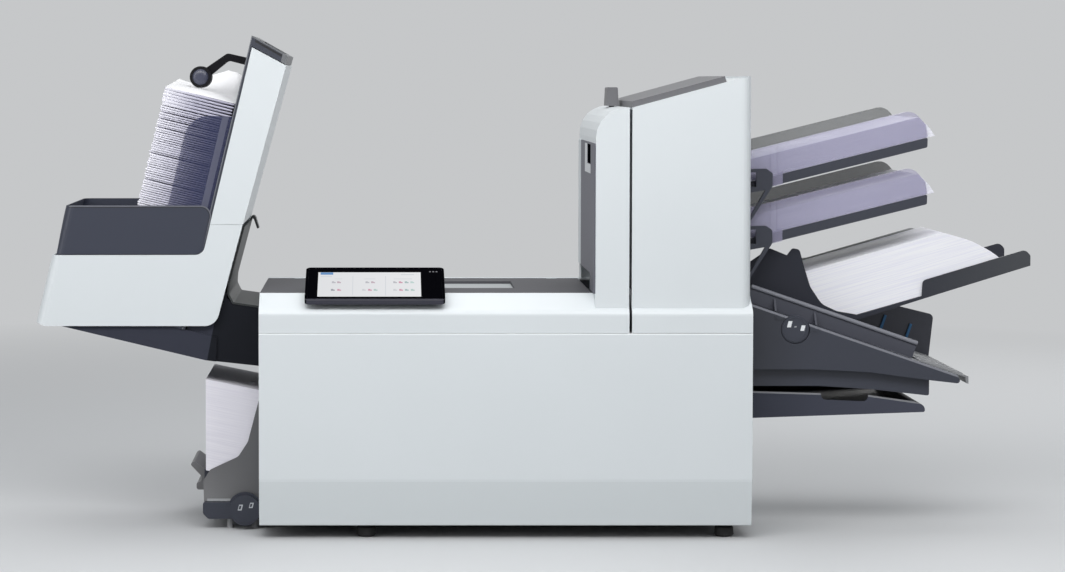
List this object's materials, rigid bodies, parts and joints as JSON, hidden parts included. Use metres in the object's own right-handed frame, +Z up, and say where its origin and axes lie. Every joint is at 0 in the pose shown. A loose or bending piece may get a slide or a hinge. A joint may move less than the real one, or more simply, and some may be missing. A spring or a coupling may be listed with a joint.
{
  "type": "folder inserter",
  "caption": "Desktop folding and inserting machine with a sliding feed tower, stacked document trays, envelope hopper, upright envelope stacker and tilting touch screen",
  "frame": {"origin": "middle of the machine's plan, on the table", "axes": "+X to the right seen from the front, +Y to the back, +Z up"},
  "size_m": [1.5366, 0.4117, 0.7605],
  "materials": {
    "white_shell": "fine satin moulded cover",
    "deck_grey": "fine matte grain",
    "liner_grey": "fine matte grain",
    "slate": "matte slate moulding",
    "panel_grey": "satin mid grey moulding",
    "dark_trim": "matte near black",
    "smoke_clear": "tinted clear plastic",
    "screen_glass": "glossy black glass",
    "rubber": "matte black rubber",
    "steel": "zinc plated sheet",
    "dark_steel": "dark powder coat",
    "paper": "plain uncoated paper",
    "tank": "milky moulded bottle",
    "motor_metal": "cast and machined"
  },
  "bodies": {
    "cabinet": {"base_pan": "dark_steel", "feet": "rubber", "side_frames": "steel", "base_shell": "white_shell", "band_left": "white_shell", "tower_left": "white_shell", "tower_liner": "liner_grey", "sight_window": "screen_glass", "fold_plates": "steel", "moistener_tank": "tank", "main_motor": "motor_metal", "electronics_box": "steel", "mains_inlet": "dark_trim", "collator_bed": "steel", "stacker_chassis": "dark_trim", "stacker_shell": "white_shell", "stacker_tub": "slate", "column_frame": "slate", "column_cover": "white_shell", "envelope_pile": "paper", "chute": "panel_grey", "insert_base": "slate", "insert_pile_sheets": "paper"},
    "door": {"front_door": "white_shell"},
    "lid": {"deck_lid": "deck_grey", "screen_body": "dark_trim", "screen_glass": "screen_glass"},
    "feed_unit": {"tower_right": "white_shell", "carriage_housing": "white_shell", "top_panel": "panel_grey", "feeder_frame": "steel", "tray_bracket": "slate", "tray_upper": "slate", "sheets_upper": "paper", "tray_lower": "slate", "sheets_lower": "paper", "hcf_tray": "slate", "hcf_sheets": "paper", "hopper_body": "slate"},
    "release": {"release_handle": "panel_grey"},
    "extension": {"hopper_extension": "panel_grey"},
    "dial": {"hopper_dial": "slate"},
    "divert": {"divert_tray": "slate"},
    "insert_knob": {"insert_dial": "slate"},
    "arm": {"stacker_arm": "dark_trim"},
    "roller": {"stacker_roller": "slate"},
    "pile_guide": {"stacker_guide": "smoke_clear"},
    "fold_upper": {"fold_roller_upper": "rubber"},
    "fold_lower": {"fold_roller_lower": "rubber"},
    "rocker": {"power_switch": "dark_trim"},
    "upper_guides_near": {"guide_upper_near": "smoke_clear"},
    "upper_guides_far": {"guide_upper_far": "smoke_clear"},
    "lower_guides_near": {"guide_lower_near": "smoke_clear"},
    "lower_guides_far": {"guide_lower_far": "smoke_clear"},
    "hcf_guides_near": {"hcf_guide_near": "slate"},
    "hcf_guides_far": {"hcf_guide_far": "slate"},
    "hopper_guides_near": {"hopper_fence": "slate"},
    "hopper_guides_far": {"hopper_far_guide": "slate"},
    "insert_guides_near": {"insert_guide_near": "panel_grey"},
    "insert_guides_far": {"insert_guide_far": "panel_grey"}
  },
  "joints": [
    {"name": "door_hinge", "type": "hinge", "parent": "cabinet", "child": "door", "pos_m": [-0.04975, -0.185, 0.028], "axis": [1, 0, 0], "range_deg": [0, 85]},
    {"name": "lid_hinge", "type": "hinge", "parent": "cabinet", "child": "lid", "pos_m": [-0.04975, 0.123, 0.3658], "axis": [-1, 0, 0], "range_deg": [0, 42]},
    {"name": "feed_unit_slide", "type": "slide", "parent": "cabinet", "child": "feed_unit", "axis": [1, 0, 0], "range_m": [0, 0.045]},
    {"name": "release_lift", "type": "slide", "parent": "cabinet", "child": "release", "axis": [0, 0, 1], "range_m": [0, 0.008], "stiffness_N_per_m": 150, "springref_m": -0.004},
    {"name": "hopper_extension_slide", "type": "slide", "parent": "feed_unit", "child": "extension", "axis": [0.9455, 0, -0.3256], "range_m": [0, 0.06]},
    {"name": "hopper_dial_turn", "type": "hinge", "parent": "feed_unit", "child": "dial", "pos_m": [0.39225, -0.151, 0.314], "axis": [0, 1, 0], "range_deg": [-45, 45]},
    {"name": "divert_tray_slide", "type": "slide", "parent": "cabinet", "child": "divert", "axis": [1, 0, 0], "range_m": [0, 0.06]},
    {"name": "insert_dial_turn", "type": "hinge", "parent": "cabinet", "child": "insert_knob", "pos_m": [-0.44675, -0.11, 0.0305], "axis": [0, 1, 0], "range_deg": [-60, 60]},
    {"name": "arm_hinge", "type": "hinge", "parent": "cabinet", "child": "arm", "pos_m": [-0.42304, 0.01, 0.71545], "axis": [0, 1, 0], "range_deg": [0, 30]},
    {"name": "arm_roller_turn", "type": "hinge", "parent": "arm", "child": "roller", "pos_m": [-0.52085, 0.01, 0.69697], "axis": [0, 1, 0], "continuous": true},
    {"name": "stacker_guide_slide", "type": "slide", "parent": "cabinet", "child": "pile_guide", "axis": [0, -1, 0], "range_m": [0, 0.004]},
    {"name": "fold_upper_turn", "type": "hinge", "parent": "cabinet", "child": "fold_upper", "pos_m": [-0.08975, 0.01, 0.19], "axis": [0, 1, 0], "continuous": true},
    {"name": "fold_lower_turn", "type": "hinge", "parent": "cabinet", "child": "fold_lower", "pos_m": [-0.08975, 0.01, 0.1616], "axis": [0, 1, 0], "continuous": true},
    {"name": "power_rocker", "type": "hinge", "parent": "cabinet", "child": "rocker", "pos_m": [-0.32175, 0.196, 0.072], "axis": [-1, 0, 0], "range_deg": [0, 12]},
    {"name": "upper_guides_near_slide", "type": "slide", "parent": "feed_unit", "child": "upper_guides_near", "axis": [0, -1, 0], "range_m": [0, 0.006]},
    {"name": "upper_guides_far_slide", "type": "slide", "parent": "feed_unit", "child": "upper_guides_far", "axis": [0, 1, 0], "range_m": [0, 0.006]},
    {"name": "lower_guides_near_slide", "type": "slide", "parent": "feed_unit", "child": "lower_guides_near", "axis": [0, -1, 0], "range_m": [0, 0.006]},
    {"name": "lower_guides_far_slide", "type": "slide", "parent": "feed_unit", "child": "lower_guides_far", "axis": [0, 1, 0], "range_m": [0, 0.006]},
    {"name": "hcf_guides_near_slide", "type": "slide", "parent": "feed_unit", "child": "hcf_guides_near", "axis": [0, -1, 0], "range_m": [0, 0.02]},
    {"name": "hcf_guides_far_slide", "type": "slide", "parent": "feed_unit", "child": "hcf_guides_far", "axis": [0, 1, 0], "range_m": [0, 0.02]},
    {"name": "hopper_guides_near_slide", "type": "slide", "parent": "feed_unit", "child": "hopper_guides_near", "axis": [0, -1, 0], "range_m": [0, 0.02]},
    {"name": "hopper_guides_far_slide", "type": "slide", "parent": "feed_unit", "child": "hopper_guides_far", "axis": [0, 1, 0], "range_m": [0, 0.02]},
    {"name": "insert_guides_near_slide", "type": "slide", "parent": "cabinet", "child": "insert_guides_near", "axis": [0, -1, 0], "range_m": [0, 0.006]},
    {"name": "insert_guides_far_slide", "type": "slide", "parent": "cabinet", "child": "insert_guides_far", "axis": [0, 1, 0], "range_m": [0, 0.006]}
  ],
  "couplings": [
    {"joint": "fold_upper_turn", "follows": "fold_lower_turn", "ratio": -1},
    {"joint": "upper_guides_far_slide", "follows": "upper_guides_near_slide", "ratio": 1},
    {"joint": "lower_guides_far_slide", "follows": "lower_guides_near_slide", "ratio": 1},
    {"joint": "hcf_guides_far_slide", "follows": "hcf_guides_near_slide", "ratio": 1},
    {"joint": "hopper_guides_far_slide", "follows": "hopper_guides_near_slide", "ratio": 1},
    {"joint": "insert_guides_far_slide", "follows": "insert_guides_near_slide", "ratio": 1}
  ]
}
